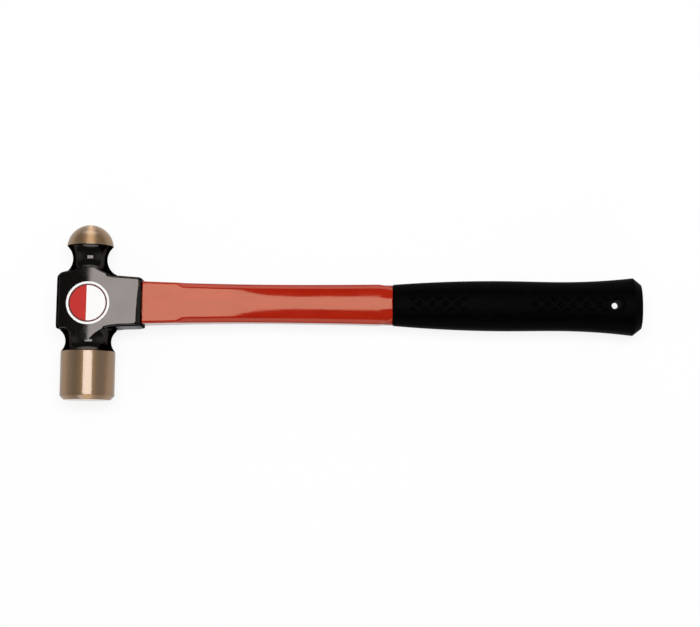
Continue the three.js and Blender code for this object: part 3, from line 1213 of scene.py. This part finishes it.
@dataclass
class Grip(Sleeve):
    """The moulded rubber grip, with its relief of pips in round dimples."""

    node: str = "grip"
    slot: Slot = Slot.RUBBER
    collar_height: float = 24.2 * MM
    swell_height: float = 29.4 * MM
    waist_height: float = 28.7 * MM
    butt_height: float = 33.8 * MM
    collar_depth: float = 17.8 * MM
    swell_depth: float = 23.6 * MM
    waist_depth: float = 22.8 * MM
    butt_depth: float = 26.4 * MM
    collar_edge: float = 0.5 * MM
    seam: float = 0.28 * MM
    swell_from_start: float = 64 * MM
    waist_from_end: float = 49.2 * MM
    chamfer_length: float = 4.7 * MM
    chamfer_drop: float = 3.7 * MM
    end_crown: float = 1.1 * MM
    squareness: float = 2.3
    core_end_gap: float = 0.2 * MM
    hole_from_end: float = 16 * MM
    hole_above_axis: float = 0.7 * MM
    hole_waist: float = 1.7 * MM
    hole_mouth: float = 4.3 * MM
    crisp_degrees: float = 30
    sides: int = 48
    ring_steps: tuple[int, int, int] = (36, 18, 24)
    crown_steps: int = 8
    dimple_from_start: float = 11.3 * MM
    dimple_pitch: float = 7.44 * MM
    row_pitch: float = 3.6 * MM
    dimple_radius: float = 1.3 * MM
    dimple_width: float = 0.7 * MM
    dimple_lift: float = 0.15 * MM
    dimple_sides: int = 16
    dimple_wall_sides: int = 7
    dimples_per_row: int = 16
    outer_rows: int = 2
    panel_from_start: float = 41.6 * MM
    panel_to_start: float = 80.3 * MM
    probe: float = 0.1 * MM
    swell_at: float = field(init=False)
    waist_at: float = field(init=False)
    rim_at: float = field(init=False)

    def __post_init__(self) -> None:
        """Finds the ends, the swell, the waist and the rim."""
        super().__post_init__()
        self.swell_at = self.start + self.swell_from_start
        self.waist_at = self.end - self.waist_from_end
        self.rim_at = self.end - self.end_crown - self.chamfer_length

    def size_at(self, place: float, collar: float, swell: float, waist: float, butt: float) -> float:
        """Gives a height or depth of the grip.

        Args:
            place: where along the handle.
            collar: size at the collar.
            swell: size at the swell.
            waist: size at the waist.
            butt: size at the butt.

        Returns:
            The size there.
        """
        if place < self.swell_at:
            return blend(collar, swell, ease_out(share_along(place, self.start, self.swell_at)))
        if place < self.waist_at:
            return blend(swell, waist, ease_both(share_along(place, self.swell_at, self.waist_at)))
        return blend(waist, butt, share_along(place, self.waist_at, self.rim_at) ** 2)

    def half_height(self, place: float) -> float:
        """Gives half the grip's height."""
        sizes = (self.collar_height, self.swell_height, self.waist_height, self.butt_height)
        return self.size_at(place, *sizes) / 2

    def half_depth(self, place: float) -> float:
        """Gives half the grip's depth."""
        sizes = (self.collar_depth, self.swell_depth, self.waist_depth, self.butt_depth)
        return self.size_at(place, *sizes) / 2

    def ring(self, place: float, inset: float = 0.0, share: float = 1.0) -> list[Vector]:
        """Gives one section of the grip.

        Args:
            place: where along the handle.
            inset: how much smaller each side is.
            share: how much of the inset section is left, towards the middle.

        Returns:
            The points of the ring.
        """
        height = (self.half_height(place) - inset) * share
        depth = (self.half_depth(place) - inset) * share
        offset = Vector((0, self.eye.y, self.eye.z))
        return [p + offset for p in oval_ring(place, height, depth, self.squareness, self.sides)]

    def body(self) -> Piece:
        """Skins the grip's outside.

        Returns:
            The solid grip.
        """
        front, middle, back = self.ring_steps
        places = [
            *between(self.start + self.collar_edge, self.swell_at, front),
            *between(self.swell_at, self.waist_at, middle),
            *between(self.waist_at, self.rim_at, back),
            self.rim_at,
        ]
        rings = [self.ring(self.start - self.seam, self.collar_edge)]
        rings += [self.ring(place) for place in places]
        crown_at = self.end - self.end_crown
        for share in between(0, 1, self.crown_steps):
            place = crown_at + self.end_crown * ease_out(share)
            rings.append(self.ring(place, self.chamfer_drop, 1 - share))
        return skinned("grip_rubber", rings)

    def depth_at(self, place: float, height: float) -> float:
        """Gives how far the face stands out from the handle's middle plane."""
        inward = abs(height / self.half_height(place)) ** self.squareness
        return self.half_depth(place) * (1 - inward) ** (1 / self.squareness)

    def face_at(self, place: float, height: float) -> tuple[Vector, Vector]:
        """Finds a point of the upper face and the way it faces.

        Args:
            place: where along the handle.
            height: how far above the grip's axis in side view.

        Returns:
            The point and its outward direction.
        """
        step = self.probe
        here = self.depth_at(place, height)
        rise_along = self.depth_at(place + step, height) - self.depth_at(place - step, height)
        rise_up = self.depth_at(place, height + step) - self.depth_at(place, height - step)
        facing = Vector((-rise_along / (2 * step), -rise_up / (2 * step), 1))
        return Vector((place, height, here)), facing.normalized()

    def dimples(self) -> Piece:
        """Makes the rings that press the dimples round their pips, in rows on both faces.

        Returns:
            The cutting body.
        """
        middle = Vector((0, self.eye.y, self.eye.z))
        pressed = []
        for row in range(-self.outer_rows, self.outer_rows + 1):
            shifted = row % 2 == 0
            shift = self.dimple_pitch / 2 if shifted else 0.0
            for i in range(self.dimples_per_row - shifted):
                from_start = self.dimple_from_start + shift + i * self.dimple_pitch
                on_panel = self.panel_from_start < from_start < self.panel_to_start
                if on_panel and abs(row) < self.outer_rows:
                    continue
                point, facing = self.face_at(self.start + from_start, row * self.row_pitch)
                for side in (1, -1):
                    turn = Vector((1, 1, side))
                    pressed.append(self.dimple(middle + point * turn, facing * turn))
        for ring in pressed:
            ring.select_set(True)
        bpy.context.view_layer.objects.active = pressed[0]
        bpy.ops.object.join()
        return named("dimples")

    def dimple(self, point: Vector, facing: Vector) -> Piece:
        """Makes one ring that presses a round dimple with a pip.

        Args:
            point: where on the face.
            facing: the face's outward direction.

        Returns:
            The ring.
        """
        deselect()
        bpy.ops.mesh.primitive_torus_add(
            major_radius=self.dimple_radius,
            minor_radius=self.dimple_width,
            major_segments=self.dimple_sides,
            minor_segments=self.dimple_wall_sides,
            location=point + facing * self.dimple_lift,
            rotation=facing.to_track_quat("Z", "Y").to_euler(),
        )
        return named("dimple")

    def hole(self) -> Piece:
        """Makes the double cone of the hang hole.

        Returns:
            The cutting body, across the grip.
        """
        reach = self.butt_depth / 2
        past = reach + OVERRUN
        wide = blend(self.hole_waist, self.hole_mouth, past / reach)
        profile = [(0, -past), (wide, -past), (self.hole_waist, 0), (wide, past), (0, past)]
        cones = spun("hole", profile, self.sides)
        centre = Vector((self.end - self.hole_from_end, self.eye.y + self.hole_above_axis, self.eye.z))
        settle(cones, Matrix.Translation(centre) @ Matrix.Rotation(math.pi / 2, 4, "X"))
        return cones

    def build(self) -> None:
        """Moulds the grip and dresses it."""
        grip = self.body()
        bore_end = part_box("handle_core")[1][0] + self.core_end_gap
        for tool in (self.bore(self.start - OVERRUN, bore_end), self.hole(), self.dimples()):
            combine(grip, tool, Cut.TAKE_AWAY)
        self.hand_over(grip, GripRubber(), self.crisp_degrees)


def dress_node(name: str, finish: Finish) -> None:
    """Gives a carried-over CAD node its finish."""
    dress(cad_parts[name], finish)
    LOG.info("%s: dressed", name)


# Studio


@dataclass(frozen=True)
class SoftBox:
    """A flat soft light that hangs level above the hammer, from one corner to the other."""

    name: str
    low: Point
    high: Point
    height: float
    level: float

    def hang(self) -> None:
        """Hangs the light."""
        data = bpy.data.lights.new(self.name, "AREA")
        data.shape = "RECTANGLE"
        data.size = self.high[0] - self.low[0]
        data.size_y = self.high[1] - self.low[1]
        data.energy = self.level * math.pi * data.size * data.size_y
        lamp = bpy.data.objects.new(self.name, data)
        bpy.context.scene.collection.objects.link(lamp)
        lamp.location = ((self.low[0] + self.high[0]) / 2, (self.low[1] + self.high[1]) / 2, self.height)


@dataclass
class Studio:
    """Camera, floor, soft light and a room.

    A wall level holds the Y of a direction and the room's brightness in it. The ceiling takes over
    from the walls as the direction's Z goes up.
    """

    eye: Vector
    image_width: int = 700
    lens_pixels: float = 1500.0
    mm_per_pixel: float = 0.585
    sensor: float = 36.0
    slope: float = math.radians(0.417)
    tilt: float = math.radians(5.8)
    target_from_eye: Point = (152.64 * MM, -4.92 * MM)
    floor_size: float = 6
    floor_tone: Colour = (0.92, 0.92, 0.92)
    floor_roughness: float = 0.9
    floor_glow: float = 0.86
    card_low: Point = (-305 * MM, -40 * MM)
    card_high: Point = (303 * MM, 265 * MM)
    card_level: float = 11.0
    ceiling_level: float = 0.2
    ceiling_above: float = 0.96
    walls_below: float = 0.5
    wall_levels: tuple[Point, ...] = (
        (-1, 0.35),
        (-0.992, 0.35),
        (-0.982, 3.6),
        (-0.93, 3.6),
        (-0.87, 0.2),
        (-0.5, 0.2),
        (-0.2, 0.75),
        (0.2, 0.75),
        (0.5, 0.2),
        (0.85, 0.2),
        (0.95, 3.6),
        (1, 3.6),
    )

    def distance(self) -> float:
        """Gives the camera's distance from the hammer."""
        return self.lens_pixels * self.mm_per_pixel * MM

    def camera(self) -> None:
        """Sets the camera above the hammer, a little towards its poll side."""
        data = bpy.data.cameras.new("camera")
        data.sensor_width = self.sensor
        data.lens = self.sensor * self.lens_pixels / self.image_width
        camera = bpy.data.objects.new("camera", data)
        bpy.context.scene.collection.objects.link(camera)
        turn = Matrix.Rotation(self.tilt, 4, "X") @ Matrix.Rotation(self.slope, 4, "Z")
        aim = Matrix.Translation(self.eye + Vector((*self.target_from_eye, 0)))
        camera.matrix_world = aim @ turn @ Matrix.Translation((0, 0, self.distance()))
        bpy.context.scene.camera = camera

    def floor(self) -> None:
        """Lays the pale floor, which is white to the camera and in mirrors and keeps the shadow."""
        deselect()
        bpy.ops.mesh.primitive_plane_add(size=self.floor_size, location=(0, 0, 0))
        floor = named("floor")
        shader = Shader("pale_floor")
        shader.feed(shader.surface, {
            "Base Color": (*self.floor_tone, 1),
            "Roughness": self.floor_roughness,
            "Specular IOR Level": 0.0,
        })
        rays = shader.node("LightPath").outputs
        seen = rays["Is Camera Ray"]
        for ray in (rays["Is Glossy Ray"], rays["Is Transmission Ray"]):
            seen = shader.node("Math", {0: seen, 1: ray}, operation="MAXIMUM").outputs["Value"]
        glow = shader.node("Emission", {"Strength": seen}).outputs["Emission"]
        plain = shader.surface.outputs["BSDF"]
        mix = shader.node("MixShader", {"Fac": self.floor_glow, 1: plain, 2: glow})
        shader.feed(shader.tree.nodes["Material Output"], {"Surface": mix.outputs["Shader"]})
        floor.data.materials.append(shader.material)

    def lamps(self) -> None:
        """Hangs the soft card above the hammer."""
        height = self.eye.z + self.distance()
        SoftBox("card", self.card_low, self.card_high, height, self.card_level).hang()

    def world(self) -> None:
        """Fills the room: a dark ceiling over walls whose light changes from one end to the other."""
        world = bpy.data.worlds.new("room")
        bpy.context.scene.world = world
        world.use_nodes = True
        room = Wiring(world.node_tree)
        towards = room.node("TexCoord").outputs["Generated"]
        split = room.node("SeparateXYZ", {"Vector": towards}).outputs
        along = room.node("MapRange", {"Value": split["Y"], "From Min": -1}).outputs["Result"]
        ramp = room.node("ValToRGB", {"Fac": along})
        brightest = max(level for _, level in self.wall_levels)
        stops = ramp.color_ramp.elements
        for place, level in self.wall_levels:
            stop = stops[0] if place == -1 else stops[-1] if place == 1 else stops.new((place + 1) / 2)
            stop.color = (*[level / brightest] * 3, 1)
        walls = room.node("Math", {0: ramp.outputs["Color"], 1: brightest}, operation="MULTIPLY")
        light = room.node("MapRange", {
            "Value": split["Z"],
            "From Min": self.ceiling_above,
            "From Max": self.walls_below,
            "To Min": self.ceiling_level,
            "To Max": walls.outputs["Value"],
        })
        background = room.tree.nodes["Background"]
        room.feed(background, {"Color": (1, 1, 1, 1), "Strength": light.outputs["Result"]})

    def build(self) -> None:
        """Sets up the whole studio."""
        bpy.context.scene.view_settings.view_transform = "Standard"
        self.camera()
        self.floor()
        self.lamps()
        self.world()


def main() -> None:
    """Builds the hammer, piece by piece, and its studio."""
    logging.basicConfig(level=logging.INFO, format="%(message)s")
    eye = eye_centre(ForgedHead.tenon_reach)
    head = ForgedHead(Matrix.Translation(eye))
    head.build()
    CheekLabel(head).build()
    Jacket(eye).build()
    Grip(eye).build()
    dress_node("epoxy_bond", CastResin())
    dress_node("handle_core", Fibreglass())
    Studio(eye).build()


if __name__ == "__main__":
    main()
